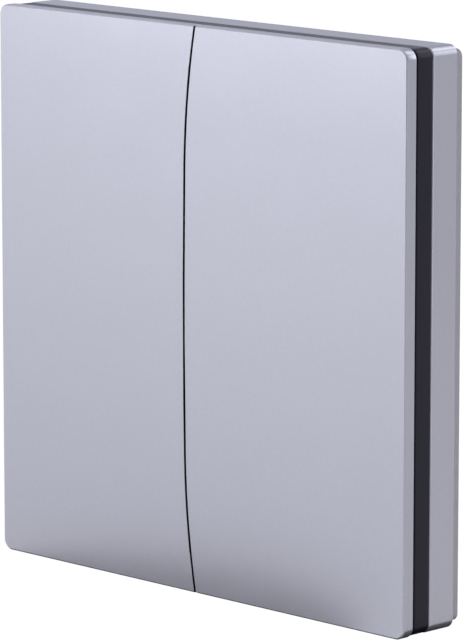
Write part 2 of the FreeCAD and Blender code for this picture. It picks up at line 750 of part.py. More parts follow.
def make_base_housing():
    """The silver tray: wall, floor, battery opening, clip slots, screw pockets, bosses and posts."""
    body = new_body("base_housing")
    edge_x, edge_z = "half_width - base_inset", "half_height - base_inset"
    outline = (plate, f"-({edge_x})", f"-({edge_z})", edge_x, edge_z, "base_radius")
    grow(body, "block", "base_back", "base_front", [outline])
    doc.recompute()
    names = [
        name
        for level in ("base_back", "base_front")
        for name in edges_at_level(body.Shape, size(level))
    ]
    bevel(body, names, "base_edge")
    hollow = (block, *MIDDLE, "base_inside_x", "base_inside_z")
    cut(body, "hollow", "floor_front", "base_front", [hollow])
    # Raised pockets that leave room for the heads of the wall screws
    half_x, half_z = "pocket_width / 2", "pocket_height / 2"
    raised, sunk = [], []
    for side in BOTH:
        place = (f"{side} * slot_x", "0")
        sunk.append((block, *place, half_x, half_z))
        raised.append((block, *place, f"{half_x} + pocket_wall", f"{half_z} + pocket_wall"))
    grow(body, "pocket_islands", "floor_front", "base_back + pocket_depth + pocket_wall", raised)
    cut(body, "pockets", "base_back", "base_back + pocket_depth", sunk)
    half = "post_width / 2"
    posts = [(block, f"{a} * post_x", f"{b} * post_z", half, half) for a, b in CORNERS]
    grow(body, "posts", "floor_front", "board_back - post_play", posts)
    places = [(f"{a} * housing_screw_x", f"{b} * housing_screw_z") for a, b in CORNERS]
    bosses = [(block, x, z, *["housing_boss_width / 2"] * 2) for x, z in places]
    grow(body, "bosses", "floor_front", "boss_joint", bosses)
    shanks = [(disc, x, z, "housing_screw_radius + hole_room") for x, z in places]
    cut(body, "screw_holes", "base_back", "boss_joint", shanks)
    heads = [(disc, x, z, "housing_head_radius + hole_room") for x, z in places]
    cut(body, "head_sinks", "base_back", "base_back + head_sink", heads)
    slots = []
    for a, b in CORNERS:
        half = "clip_width / 2 + clip_room"
        inner = f"{b} * (clip_z - clip_nose - clip_play)"
        outer = f"{b} * (clip_z + clip_thick + clip_play)"
        low, high = (outer, inner) if b < 0 else (inner, outer)
        slots.append((box, f"{a} * clip_x - ({half})", low, f"{a} * clip_x + {half}", high))
    cut(body, "clip_slots", "base_back", "floor_front", slots)
    opening = (disc, *MIDDLE, "lid_radius + lid_room")
    cut(body, "battery_opening", "base_back", "floor_front", [opening], "cell_z")
    # Three notches let the lid's lugs in
    notch = (sector, "lid_radius - lid_neck", "lid_radius + lug_reach + lid_room", "-lug_turn - notch_room")
    notches = cut(body, "lug_notch", "base_back", "floor_front", [notch], "cell_z")
    repeat_round(body, notches, 3)
    return body


def make_wall_plate():
    """The thin plate on the wall, with screw slots, a pry notch and four clips."""
    body = new_body("wall_plate")
    edge_x = "half_width - base_inset - plate_side_inset"
    top, bottom = "half_height - plate_top_inset", "-(half_height - plate_bottom_inset)"
    outline = (plate, f"-({edge_x})", bottom, edge_x, top, "plate_radius")
    grow(body, "sheet", "0", "plate_thick", [outline])
    doc.recompute()
    bevel(body, edges_at_level(body.Shape, 0.0), "plate_edge")
    slots = [(slot, f"{side} * slot_x", "0", "wall_slot_length", "wall_slot_width") for side in BOTH]
    cut(body, "screw_slots", "0", "plate_thick", slots)
    notch = (box, "-pry_width / 2", f"{bottom} - pry_depth", "pry_width / 2", f"{bottom} + pry_depth")
    cut(body, "pry_notch", "0", "plate_thick", [notch])
    for number, (a, b) in enumerate(CORNERS, start=1):
        inner, outer = f"{b} * clip_z", f"{b} * (clip_z + clip_thick)"
        nose = f"{b} * (clip_z + clip_thick + clip_nose)"
        points = [
            ("-plate_thick / 2", inner),
            ("-(floor_front + clip_play + clip_nose_rise)", inner),
            ("-(floor_front + clip_play + clip_nose_rise)", outer),
            ("-(floor_front + clip_play)", nose),
            ("-(floor_front + clip_play)", outer),
            ("-plate_thick / 2", outer),
        ]
        ends = (f"{a} * clip_x - clip_width / 2", f"{a} * clip_x + clip_width / 2")
        grow_across(body, f"clip_{number}", *ends, [(polygon, points)])
    return body


def make_battery_lid():
    """The twist-off lid in the floor: disc, neck ring, three lugs and a coin slot."""
    body = new_body("battery_lid")
    centre = (disc, *MIDDLE, "lid_radius")
    grow(body, "disc", "lid_back", "lid_front", [centre], "cell_z")
    hole = (disc, *MIDDLE, "lid_radius - lid_neck")
    grow(body, "neck", "lid_front", "lug_front", [centre, hole], "cell_z")
    lug = (sector, "lid_radius - lid_neck / 2", "lid_radius + lug_reach", "lug_turn")
    lugs = grow(body, "lug", "floor_front + lid_play", "lug_front", [lug], "cell_z")
    repeat_round(body, lugs, 3)
    groove = (block, *MIDDLE, "coin_slot_length / 2", "coin_slot_width / 2")
    cut(body, "coin_slot", "lid_back", "lid_back + coin_slot_depth", [groove], "cell_z")
    return body


def code_piece(label, shape):
    """A piece whose shape is set by code."""
    piece = doc.addObject("Part::Feature", f"{label}_shape")
    piece.Shape = shape
    piece.Placement = FreeCAD.Placement()
    piece.Label = label
    return piece


def make_coin_cell():
    """The cell: a can with a rounded rim and the smaller cap that faces the board."""
    body = new_body("coin_cell")
    points = [
        ("cell_back", "0"),
        ("cell_back", "cell_radius - cell_edge"),
        ("cell_back + cell_edge", "cell_radius"),
        ("cell_front - cell_cap_rise", "cell_radius"),
        ("cell_front - cell_cap_rise", "cell_cap_radius"),
        ("cell_front", "cell_cap_radius"),
        ("cell_front", "0"),
    ]
    spin(body, "profile", "0", "cell_z", points)
    return body


def make_cell_holder():
    """The ring round the cell, open where the contact reaches in and where a finger lifts it."""
    body = new_body("cell_holder")
    inner = "cell_radius + holder_play"
    outer = f"{inner} + holder_wall"
    low = "board_back - holder_rise"
    ring = [(disc, "0", "cell_z", outer), (disc, "0", "cell_z", inner)]
    grow(body, "ring", low, "board_back", ring)
    # The base sheet joins the two halves behind the cell
    bridge = [
        (disc, "0", "cell_z", outer),
        (disc, "0", "cell_z", "cell_cap_radius - holder_wall"),
    ]
    grow(body, "sole", "board_back - contact_thick", "board_back", bridge)
    gap = (box, "-holder_gap / 2", f"cell_z - ({outer}) - 1", "holder_gap / 2", f"cell_z + {outer} + 1")
    cut(body, "openings", low, "board_back - contact_thick", [gap])
    half = "contact_width / 2 + hole_room"
    notch = (box, f"-({half})", f"cell_z + {inner} - holder_wall", half, f"cell_z + {outer} + 1")
    cut(body, "contact_notch", "board_back - contact_thick", "board_back", [notch])
    return body


def make_positive_contact():
    """A bent strip: a foot on the board and an arm that leans on the cell's side."""
    body = new_body("positive_contact")
    side = "cell_z + cell_radius"
    arm_low = "cell_back + cell_thick / 3"
    points = [
        ("-board_back", side),
        (f"-({arm_low})", side),
        (f"-({arm_low})", f"{side} + contact_thick"),
        ("-(board_back - contact_thick)", f"{side} + contact_thick"),
        ("-(board_back - contact_thick)", f"{side} + contact_foot"),
        ("-board_back", f"{side} + contact_foot"),
    ]
    grow_across(body, "strip", "-contact_width / 2", "contact_width / 2", [(polygon, points)])
    return body


def make_negative_contact():
    """A leaf on the board with a dimple that the cell's cap presses on."""
    body = new_body("negative_contact")
    leaf = (block, "0", "cell_z", "leaf_width / 2", "leaf_length / 2")
    grow(body, "leaf", "board_back - contact_thick", "board_back", [leaf])
    dimple = (disc, "0", "cell_z", "dimple_radius")
    grow(body, "dimple", "cell_front", "board_back - contact_thick", [dimple])
    return body


def make_board():
    """The circuit board with its screw holes."""
    body = new_body("circuit_board")
    corner = ("board_half_x", "board_half_z")
    outline = (plate, *[f"-{value}" for value in corner], *corner, "board_radius")
    holes = [
        (disc, f"{a} * board_screw_x", f"{b} * board_screw_z", "board_screw_radius + hole_room")
        for a, b in CROSSWISE
    ]
    grow(body, "sheet", "board_back", "board_front", [outline, *holes])
    return body


def make_switch(label):
    """A tactile switch on the board: housing, metal cover and plunger."""
    centre = f"{SIDES[label]} * key_centre"
    body = new_body(f"{label}_switch_body")
    square = (block, centre, "-strike_z", "switch_size / 2", "switch_size / 2")
    grow(body, "block", "board_front", "switch_front", [square])
    well = (disc, centre, "-strike_z", "flange_radius + plunger_play")
    cut(body, "well", "board_front + switch_skin", "switch_front", [well])
    cover = new_body(f"{label}_switch_cover")
    hole = (disc, centre, "-strike_z", "plunger_radius + plunger_play")
    grow(cover, "sheet", "switch_front", "cover_front", [square, hole])
    plunger = new_body(f"{label}_plunger")
    flange_top = "switch_front - plunger_play"
    flange = (disc, centre, "-strike_z", "flange_radius")
    grow(plunger, "flange", f"{flange_top} - flange_thick", flange_top, [flange])
    stem = (disc, centre, "-strike_z", "plunger_radius")
    grow(plunger, "stem", flange_top, "plunger_front", [stem])
    return [body, cover, plunger]


def chip(label, across, along, width, height, low, high):
    """A small rectangular component on the board."""
    body = new_body(label)
    grow(body, "block", low, high, [(block, across, along, f"{width} / 2", f"{height} / 2")])
    return body


def make_components():
    """What the board carries on its back, and the light on its front."""
    places = {
        "radio_chip": ("-chip_x", "-chip_z", "chip_size", "chip_size", "chip_rise"),
        "crystal": ("-crystal_x", "-chip_z", "crystal_width", "crystal_height", "crystal_rise"),
        "bulk_capacitor": ("bulk_x", "-chip_z", "bulk_width", "bulk_height", "bulk_rise"),
        "shield_can": ("-can_x", "-chip_z", "can_width", "can_height", "can_rise"),
    }
    back = "board_back"
    pieces = [chip(label, *place, f"{back} - {rise}", back) for label, (*place, rise) in places.items()]
    inner_x, inner_z = "can_width / 2 - can_wall", "can_height / 2 - can_wall"
    inside = (block, "-can_x", "-chip_z", inner_x, inner_z)
    cut(pieces[-1], "hollow", f"{back} - can_rise + can_wall", back, [inside])
    led = ("-seam_bow", "led_z", "led_width", "led_height")
    pieces.append(chip("status_led", *led, "board_front", "board_front + led_rise"))
    return pieces


def make_chip_capacitors():
    """A row of small capacitors as separate solids in one piece."""
    width, height, rise = size("small_width"), size("small_height"), size("small_rise")
    first = size("bulk_x") - size("small_pitch") * (SIZES["small_count"] - 1) / 2
    shapes = []
    for number in range(SIZES["small_count"]):
        middle = first + number * size("small_pitch")
        corner = V(middle - height / 2, -size("board_back"), -size("small_z") - width / 2)
        shapes.append(Part.makeBox(height, rise, width, corner))
    return code_piece("chip_capacitors", Part.makeCompound(shapes))


def make_antenna():
    """A bent wire over the board: a long arm on two legs."""
    body = new_body("antenna")
    low, high = "antenna_z - antenna_wire / 2", "antenna_z + antenna_wire / 2"
    left, right = "-antenna_length / 2", "antenna_length / 2"
    top = "board_back - antenna_rise"
    grow(body, "arm", f"{top} - antenna_wire", top, [(box, left, low, right, high)])
    legs = [
        (box, left, low, f"{left} + antenna_wire", high),
        (box, f"{left} + antenna_leg", low, f"{left} + antenna_leg + antenna_wire", high),
    ]
    grow(body, "legs", top, "board_back", legs)
    return body


def screw_shape(kind, x, z, level):
    """A pan-head screw driven to the front, with a cross recess in its head."""
    radius, length, head_radius, head_thick = (
        size(f"{kind}_{word}") for word in ("screw_radius", "screw_length", "head_radius", "head_thick")
    )
    reach, width, depth = (size(f"cross_{word}") for word in ("length", "width", "depth"))
    to_front = V(0, -1, 0)
    head = Part.makeCone(head_radius - depth / 2, head_radius, head_thick, V(x, -level, z), to_front)
    shank = Part.makeCylinder(radius, length, V(x, -level - head_thick, z), to_front)
    screw = head.fuse(shank)
    for across, up in ((reach, width), (width, reach)):
        corner = V(x - across / 2, -level - depth, z - up / 2)
        screw = screw.cut(Part.makeBox(across, depth, up, corner))
    return screw.removeSplitter()


def make_screws():
    """The screws of the housing and those of the board, each group one piece."""
    groups = {
        "housing": (CORNERS, "housing_head_level"),
        "board": (CROSSWISE, "board_back - board_head_thick"),
    }
    pieces = []
    for kind, (places, level) in groups.items():
        across, along = size(f"{kind}_screw_x"), size(f"{kind}_screw_z")
        screws = [screw_shape(kind, a * across, b * along, size(level)) for a, b in places]
        pieces.append(code_piece(f"{kind}_screws", Part.makeCompound(screws)))
    return pieces


def check_and_write(pieces):
    """Stops at a failed object or a bad shape, and else writes one file for each piece."""
    failed = [o.Name for o in doc.Objects if {"Invalid", "Error"} & set(o.State)]
    if failed:
        raise RuntimeError(f"failed objects: {failed}")
    for piece in pieces:
        if piece.Shape.isNull() or not piece.Shape.isValid():
            raise RuntimeError(f"bad shape: {piece.Label}")
    os.makedirs("parts", exist_ok=True)
    for piece in pieces:
        piece.Shape.exportStep(f"parts/{piece.Label}.step")
        print(f"{piece.Label}: {len(piece.Shape.Solids)} solid(s), {piece.Shape.Volume:.1f} mm3")


pieces = [make_key(label) for label in SIDES]
pieces += [make_carrier(), make_base_housing(), make_wall_plate(), make_battery_lid()]
pieces += [make_coin_cell(), make_cell_holder(), make_positive_contact(), make_negative_contact()]
pieces.append(make_board())
for label in SIDES:
    pieces += make_switch(label)
pieces += make_components()
pieces += [make_chip_capacitors(), make_antenna()]
pieces += make_screws()
doc.recompute()
check_and_write(pieces)
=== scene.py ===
"""A two-key wireless wall switch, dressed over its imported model.

Lengths are in metres. +X is to the right, the keys face -Y, +Z is up, and the origin is the
centre of the wall plate's wall face.
"""

import logging
import math
from collections.abc import Callable, Iterable
from dataclasses import dataclass, field
from enum import Enum
from functools import partial

import bmesh
import bpy
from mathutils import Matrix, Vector


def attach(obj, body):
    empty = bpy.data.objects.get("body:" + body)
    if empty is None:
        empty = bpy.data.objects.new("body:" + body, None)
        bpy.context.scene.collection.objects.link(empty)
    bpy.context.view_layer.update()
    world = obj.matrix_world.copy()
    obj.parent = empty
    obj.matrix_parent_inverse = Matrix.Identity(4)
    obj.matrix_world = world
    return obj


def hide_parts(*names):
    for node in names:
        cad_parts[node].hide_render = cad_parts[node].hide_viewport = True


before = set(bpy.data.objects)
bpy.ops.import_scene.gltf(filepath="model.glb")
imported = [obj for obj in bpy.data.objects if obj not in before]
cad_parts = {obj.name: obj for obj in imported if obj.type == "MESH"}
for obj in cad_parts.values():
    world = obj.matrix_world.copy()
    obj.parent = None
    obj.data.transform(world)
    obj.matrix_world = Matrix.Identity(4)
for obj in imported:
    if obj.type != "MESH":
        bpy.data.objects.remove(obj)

LOG = logging.getLogger("wall_switch")
MM = 0.001
Colour = tuple[float, float, float]
Place = tuple[float, float, float]
Box = tuple[Vector, Vector]
Edges = list[bmesh.types.BMEdge]

WHITE: Colour = (1.0, 1.0, 1.0)
EVEN: Place = (1.0, 1.0, 1.0)
# Sockets of a mix node that mixes colours: the names are shared with its other kinds
MIX_FIRST, MIX_SECOND, MIX_RESULT = 6, 7, 2
# Vertices closer than this are one
MERGE = 1e-7


class Lay(Enum):
    """How the fine lines of a metal finish run."""

    ALONG_X = (0.04, 1.0, 1.0)
    ALONG_Z = (1.0, 1.0, 0.04)
    SATIN = (1.0, 1.0, 1.0)


# Node groups


def new_group(name: str, inputs: dict[str, float], outputs: tuple[str, ...]) -> bpy.types.NodeTree:
    """Makes an empty shader node group with float inputs and outputs.

    Args:
        name: The group's name.
        inputs: Input names with their default values.
        outputs: Output names.

    Returns:
        The group, with its input and output nodes in place.
    """
    group = bpy.data.node_groups.new(name, "ShaderNodeTree")
    for label, value in inputs.items():
        socket = group.interface.new_socket(label, in_out="INPUT", socket_type="NodeSocketFloat")
        socket.default_value = value
    for label in outputs:
        group.interface.new_socket(label, in_out="OUTPUT", socket_type="NodeSocketFloat")
    group.nodes.new("NodeGroupInput").name = "in"
    group.nodes.new("NodeGroupOutput").name = "out"
    return group


def node(tree: bpy.types.NodeTree, kind: str, **settings: object) -> bpy.types.Node:
    """Adds a node and sets its properties and, by socket name, its inputs.

    Args:
        tree: The tree that gets the node.
        kind: The node's type without the ShaderNode prefix.
        **settings: Properties, or socket values with spaces written as underscores.

    Returns:
        The new node.
    """
    made = tree.nodes.new(f"ShaderNode{kind}")
    for key, value in settings.items():
        label = key.replace("_", " ")
        if label in made.inputs:
            made.inputs[label].default_value = value
        else:
            setattr(made, key, value)
    return made


def colour_mix(tree: bpy.types.NodeTree, first: Colour, second: Colour) -> bpy.types.Node:
    """Adds a node that mixes two colours.

    Args:
        tree: The tree that gets the node.
        first: The colour where the factor is 0.
        second: The colour where it is 1.

    Returns:
        The mix node.
    """
    mix = node(tree, "Mix", data_type="RGBA")
    mix.inputs[MIX_FIRST].default_value = (*first, 1.0)
    mix.inputs[MIX_SECOND].default_value = (*second, 1.0)
    return mix


def stretched_noise(
    tree: bpy.types.NodeTree, scale: float, detail: float, lay: Place = EVEN, roughness: float = 0.55
) -> bpy.types.Node:
    """Adds noise over the object's own coordinates.

    Args:
        tree: The tree that gets the noise.
        scale: Features per metre.
        detail: The noise's octaves.
        lay: Stretch along each axis.
        roughness: How strong the finer octaves are.

    Returns:
        The noise node.
    """
    place = node(tree, "TexCoord")
    spread = node(tree, "Mapping")
    spread.inputs["Scale"].default_value = lay
    noise = node(tree, "TexNoise", Scale=scale, Detail=detail, Roughness=roughness)
    tree.links.new(place.outputs["Object"], spread.inputs["Vector"])
    tree.links.new(spread.outputs["Vector"], noise.inputs["Vector"])
    return noise


@dataclass(frozen=True)
class Effect:
    """A shader node group that several finishes share, built once.

    Its inputs bound the roughness, and its outputs are masks and values over the surface. The
    roughness goes from bound to bound while its pattern goes from low to high.
    """

    name: str
    outputs: tuple[str, ...] = ("Tone", "Roughness", "Height")
    low_roughness: float = 0.3
    high_roughness: float = 0.5
    pattern_low: float = 0.3
    pattern_high: float = 0.7
    curve: str = "LINEAR"

    def wire(self, group: bpy.types.NodeTree) -> None:
        """Wires the effect's own pattern into its group."""
        raise NotImplementedError(self.name)

    def group(self) -> bpy.types.NodeTree:
        """Finds the effect's group, or builds it the first time.

        Returns:
            The group.
        """
        found = bpy.data.node_groups.get(self.name)
        if found:
            return found
        bounds = {"Low Roughness": self.low_roughness, "High Roughness": self.high_roughness}
        group = new_group(self.name, bounds, self.outputs)
        self.wire(group)
        return group

    def spread_roughness(self, group: bpy.types.NodeTree, pattern: bpy.types.Node) -> None:
        """Spreads a pattern between the group's two roughness bounds.

        Args:
            group: The effect's group.
            pattern: The noise that the roughness follows.
        """
        span = node(group, "MapRange", interpolation_type=self.curve)
        span.inputs["From Min"].default_value = self.pattern_low
        span.inputs["From Max"].default_value = self.pattern_high
        bounds = group.nodes["in"].outputs
        group.links.new(pattern.outputs["Fac"], span.inputs["Value"])
        group.links.new(bounds["Low Roughness"], span.inputs["To Min"])
        group.links.new(bounds["High Roughness"], span.inputs["To Max"])
        group.links.new(span.outputs["Result"], group.nodes["out"].inputs["Roughness"])


@dataclass(frozen=True)
class MouldedGrain(Effect):
    """The fine texture of a mould: a soft large mottle under a small grain."""

    name: str = "Moulded grain"
    grain_scale: float = 4200.0
    grain_detail: float = 3.0
    mottle_scale: float = 260.0
    mottle_detail: float = 2.0

    def wire(self, group: bpy.types.NodeTree) -> None:
        """Wires the grain to roughness and height, and the mottle to the tone.

        Args:
            group: The effect's group.
        """
        grain = stretched_noise(group, self.grain_scale, self.grain_detail)
        mottle = stretched_noise(group, self.mottle_scale, self.mottle_detail)
        out = group.nodes["out"].inputs
        self.spread_roughness(group, grain)
        group.links.new(mottle.outputs["Fac"], out["Tone"])
        group.links.new(grain.outputs["Fac"], out["Height"])


@dataclass(frozen=True)
class MetalFlake(Effect):
    """The fine flakes of a metallic paint and the soft ripple of its lacquer."""

    name: str = "Metal flake"
    pattern_low: float = 0.1
    pattern_high: float = 0.9
    curve: str = "SMOOTHSTEP"
    flake_scale: float = 14000.0
    mottle_scale: float = 90.0
    mottle_detail: float = 2.0
    ripple_scale: float = 1500.0
    ripple_detail: float = 2.0

    def wire(self, group: bpy.types.NodeTree) -> None:
        """Wires the flakes to the tone, the mottle to roughness and the ripple to height.

        Args:
            group: The effect's group.
        """
        place = node(group, "TexCoord")
        cells = node(group, "TexVoronoi", Scale=self.flake_scale)
        shade = node(group, "SeparateColor")
        mottle = stretched_noise(group, self.mottle_scale, self.mottle_detail)
        ripple = stretched_noise(group, self.ripple_scale, self.ripple_detail)
        out = group.nodes["out"].inputs
        group.links.new(place.outputs["Object"], cells.inputs["Vector"])
        group.links.new(cells.outputs["Color"], shade.inputs["Color"])
        group.links.new(shade.outputs["Red"], out["Tone"])
        self.spread_roughness(group, mottle)
        group.links.new(ripple.outputs["Fac"], out["Height"])


@dataclass(frozen=True)
class DrawnLines(Effect):
    """The fine drawn or tumbled lines of plated metal."""

    lay: Lay = Lay.SATIN
    line_scale: float = 3000.0
    line_detail: float = 4.0

    def wire(self, group: bpy.types.NodeTree) -> None:
        """Wires the lines to roughness, tone and height.

        Args:
            group: The effect's group.
        """
        lines = stretched_noise(group, self.line_scale, self.line_detail, self.lay.value)
        out = group.nodes["out"].inputs
        self.spread_roughness(group, lines)
        group.links.new(lines.outputs["Fac"], out["Tone"])
        group.links.new(lines.outputs["Fac"], out["Height"])


# Finishes


@dataclass(frozen=True)
class Finish:
    """What every finish has: a name, its darkest and lightest shade and its fine relief."""

    name: str
    shade: Colour
    light: Colour
    low_roughness: float = 0.4
    high_roughness: float = 0.6
    relief: float = 0.004 * MM

    def effect(self) -> Effect:
        """Names the effect that the finish places."""
        raise NotImplementedError(self.name)

    def finish_shader(self, tree: bpy.types.NodeTree, shader: bpy.types.Node, mix: bpy.types.Node) -> None:
        """Sets what is the finish's own, once its effect is wired.

        Args:
            tree: The material's tree.
            shader: Its shader.
            mix: The mix node of the two shades.
        """

    def material(self) -> bpy.types.Material:
        """Builds the material: the effect mixes the shades and drives roughness and relief.

        Returns:
            The material.
        """
        material = bpy.data.materials.new(self.name)
        material.use_nodes = True
        tree = material.node_tree
        shader = tree.nodes["Principled BSDF"]
        placed = node(tree, "Group", node_tree=self.effect().group())
        placed.inputs["Low Roughness"].default_value = self.low_roughness
        placed.inputs["High Roughness"].default_value = self.high_roughness
        mix = colour_mix(tree, self.shade, self.light)
        bump = node(tree, "Bump", Strength=1.0, Distance=self.relief)
        tree.links.new(placed.outputs["Tone"], mix.inputs["Factor"])
        tree.links.new(mix.outputs[MIX_RESULT], shader.inputs["Base Color"])
        tree.links.new(placed.outputs["Roughness"], shader.inputs["Roughness"])
        tree.links.new(placed.outputs["Height"], bump.inputs["Height"])
        tree.links.new(bump.outputs["Normal"], shader.inputs["Normal"])
        self.finish_shader(tree, shader, mix)
        return material


@dataclass(frozen=True)
class MetallicPaint(Finish):
    """A satin silver paint with fine flakes under a thin lacquer."""

    metallic: float = 0.5
    specular: float = 0.15

    def effect(self) -> Effect:
        """Returns the paint's flakes."""
        return MetalFlake()

    def finish_shader(self, tree: bpy.types.NodeTree, shader: bpy.types.Node, mix: bpy.types.Node) -> None:
        """Sets the share of metal and the lacquer's gloss.

        Args:
            tree: The material's tree.
            shader: Its shader.
            mix: The mix node of the two shades.
        """
        shader.inputs["Metallic"].default_value = self.metallic
        shader.inputs["Specular IOR Level"].default_value = self.specular


@dataclass(frozen=True)
class MouldedPlastic(Finish):
    """A plastic with the fine grain of its mould."""

    specular: float = 0.5

    def effect(self) -> Effect:
        """Returns the mould's grain."""
        return MouldedGrain()

    def finish_shader(self, tree: bpy.types.NodeTree, shader: bpy.types.Node, mix: bpy.types.Node) -> None:
        """Sets the plastic's gloss.

        Args:
            tree: The material's tree.
            shader: Its shader.
            mix: The mix node of the two shades.
        """
        shader.inputs["Specular IOR Level"].default_value = self.specular


@dataclass(frozen=True)
class PlatedMetal(Finish):
    """A plated metal with drawn or tumbled lines."""

    lay: Lay = Lay.SATIN

    def effect(self) -> Effect:
        """Returns the metal's lines."""
        return DrawnLines(f"Drawn lines {self.lay.name.lower()}", lay=self.lay)

    def finish_shader(self, tree: bpy.types.NodeTree, shader: bpy.types.Node, mix: bpy.types.Node) -> None:
        """Makes the surface metal.

        Args:
            tree: The material's tree.
            shader: Its shader.
            mix: The mix node of the two shades.
        """
        shader.inputs["Metallic"].default_value = 1.0


@dataclass(frozen=True)
class MaskedBoard(MouldedPlastic):
    """A glass laminate under solder mask, whose weave shows through."""

    weave: Colour = (0.020, 0.185, 0.080)
    thread_scale: float = 520.0
    thread_waver: float = 0.4

    def finish_shader(self, tree: bpy.types.NodeTree, shader: bpy.types.Node, mix: bpy.types.Node) -> None:
        """Makes the crossing threads a little paler than the mask.

        Args:
            tree: The material's tree.
            shader: Its shader.
            mix: The mix node of the two shades.
        """
        place = node(tree, "TexCoord")
        crossing = node(tree, "Math", operation="MULTIPLY")
        for socket, axis in enumerate(("X", "Z")):
            threads = node(tree, "TexWave", bands_direction=axis, Scale=self.thread_scale)
            threads.inputs["Distortion"].default_value = self.thread_waver
            tree.links.new(place.outputs["Object"], threads.inputs["Vector"])
            tree.links.new(threads.outputs["Fac"], crossing.inputs[socket])
        shown = colour_mix(tree, self.shade, self.weave)
        tree.links.new(crossing.outputs[0], shown.inputs["Factor"])
        tree.links.new(mix.outputs[MIX_RESULT], shown.inputs[MIX_FIRST])
        tree.links.new(shown.outputs[MIX_RESULT], shader.inputs["Base Color"])


KEY_PAINT = MetallicPaint("key paint", (0.47, 0.475, 0.560), (0.53, 0.535, 0.620), 0.285, 0.33, 0.0006 * MM)
BASE_PAINT = MetallicPaint("base paint", (0.49, 0.49, 0.575), (0.55, 0.55, 0.635), 0.285, 0.34, 0.0008 * MM)
PLATE_PLASTIC = MouldedPlastic("plate plastic", (0.61, 0.595, 0.68), (0.66, 0.645, 0.73), 0.42, 0.58)
BAND_PLASTIC = MouldedPlastic(
    "band plastic", (0.017, 0.016, 0.030), (0.025, 0.023, 0.041), 0.30, 0.42, specular=0.15
)
BLACK_MOULDING = MouldedPlastic("black moulding", (0.02, 0.02, 0.021), (0.03, 0.03, 0.031), 0.45, 0.65)
NATURAL_MOULDING = MouldedPlastic("natural moulding", (0.66, 0.63, 0.54), (0.72, 0.70, 0.62), 0.3, 0.5)
CHIP_EPOXY = MouldedPlastic("chip epoxy", (0.03, 0.03, 0.033), (0.045, 0.045, 0.048), 0.5, 0.7)
TAN_CERAMIC = MouldedPlastic("tan ceramic", (0.45, 0.30, 0.17), (0.55, 0.38, 0.22), 0.35, 0.5)
MILKY_RESIN = MouldedPlastic("milky resin", (0.80, 0.80, 0.70), (0.86, 0.86, 0.78), 0.15, 0.25)
SOLDER_MASK = MaskedBoard("solder mask", (0.012, 0.12, 0.05), (0.02, 0.17, 0.07), 0.25, 0.4)
CELL_STEEL = PlatedMetal("cell steel", (0.58, 0.58, 0.57), (0.70, 0.70, 0.69), 0.22, 0.38, lay=Lay.SATIN)
SPRING_PLATING = PlatedMetal(
    "spring plating", (0.60, 0.57, 0.50), (0.72, 0.69, 0.62), 0.2, 0.35, lay=Lay.ALONG_Z
)
TIN_PLATING = PlatedMetal("tin plating", (0.56, 0.56, 0.56), (0.66, 0.66, 0.66), 0.25, 0.4, lay=Lay.ALONG_X)
SOLDER = PlatedMetal("solder", (0.52, 0.52, 0.53), (0.64, 0.64, 0.65), 0.18, 0.32)
# Near-black painted shade on the seam walls between the keys, which makes the narrow gap read dark
SEAM_SHADE_PAINT = MouldedPlastic(
    "seam painted shade", (0.007, 0.007, 0.016), (0.011, 0.011, 0.024), 0.45, 0.6, specular=0.1
)
DARK_FELT = MouldedPlastic(
    "dark felt", (0.006, 0.006, 0.007), (0.010, 0.010, 0.012), 0.9, 1.0, specular=0.0
)
GREY_FELT = MouldedPlastic(
    "grey felt", (0.025, 0.025, 0.028), (0.035, 0.035, 0.038), 0.9, 1.0, specular=0.0
)
ZINC_PLATING = PlatedMetal("zinc plating", (0.50, 0.51, 0.53), (0.62, 0.63, 0.65), 0.25, 0.45)


# Meshes


@dataclass(frozen=True)
class Seam:
    """The curved gap between the keys: a long flat arc between two tighter ones."""

    gap: float = 0.33 * MM
    bow: float = 2.385 * MM
    middle_radius: float = 1200 * MM
    middle_reach: float = 22 * MM
    end_radius: float = 124 * MM
    half_height: float = 43 * MM
    old_bevel: float = 0.22 * MM
    bevel: float = 0.06 * MM
    # How far in from the seam and how steeply turned a wall face may be to get the painted shade
    shade_depth: float = 0.05 * MM
    shade_slope: float = 0.5
    slack: float = 0.03 * MM

    def place(self, height: float) -> float:
        """Finds the seam's middle line.

        Args:
            height: How high over the object's middle.

        Returns:
            The line's place across, at that height.
        """
        centre = self.middle_radius - self.bow
        if abs(height) <= self.middle_reach:
            return centre - math.sqrt(self.middle_radius**2 - height**2)
        sine = self.middle_reach / self.middle_radius
        span = self.middle_radius - self.end_radius
        end_x, end_z = centre - span * math.sqrt(1 - sine**2), span * sine
        return end_x - math.sqrt(self.end_radius**2 - (abs(height) - end_z) ** 2)

    def inset(self, place: Vector, side: int) -> float:
        """Measures how far a place lies from the seam's wall.

        Args:
            place: The place.
            side: -1 for the left key and 1 for the right one.

        Returns:
            The distance into the key.
        """
        return (place.x - self.place(place.z)) * side - self.gap / 2

    def sharpen(self, mesh: bmesh.types.BMesh, side: int) -> None:
        """Makes the bevel along the seam of a key finer, and gives the wall behind it a near-black painted
        shade.

        Args:
            mesh: The key's mesh.
            side: -1 for the left key and 1 for the right one.
        """
        front = min(v.co.y for v in mesh.verts)
        end = self.half_height - self.old_bevel / 2
        for vert in mesh.verts:
            if self.inset(vert.co, side) > self.old_bevel + self.slack or abs(vert.co.z) > end:
                continue
            if abs(vert.co.y - front) < self.slack:
                vert.co.x -= side * (self.old_bevel - self.bevel)
            elif abs(vert.co.y - front - self.old_bevel) < self.slack:
                vert.co.y = front + self.bevel
        # Seam wall faces near the front get the second slot, the near-black painted shade of the gap
        for face in mesh.faces:
            near = self.inset(face.calc_center_median(), side) < self.shade_depth
            if near and abs(face.normal.x) > self.shade_slope:
                face.material_index = 1


SEAM = Seam()


def mesh_box(mesh: bmesh.types.BMesh) -> Box:
    """Measures a mesh.

    Args:
        mesh: The mesh.

    Returns:
        Its low and its high corner.
    """
    low = Vector([min(v.co[i] for v in mesh.verts) for i in range(3)])
    high = Vector([max(v.co[i] for v in mesh.verts) for i in range(3)])
    return low, high


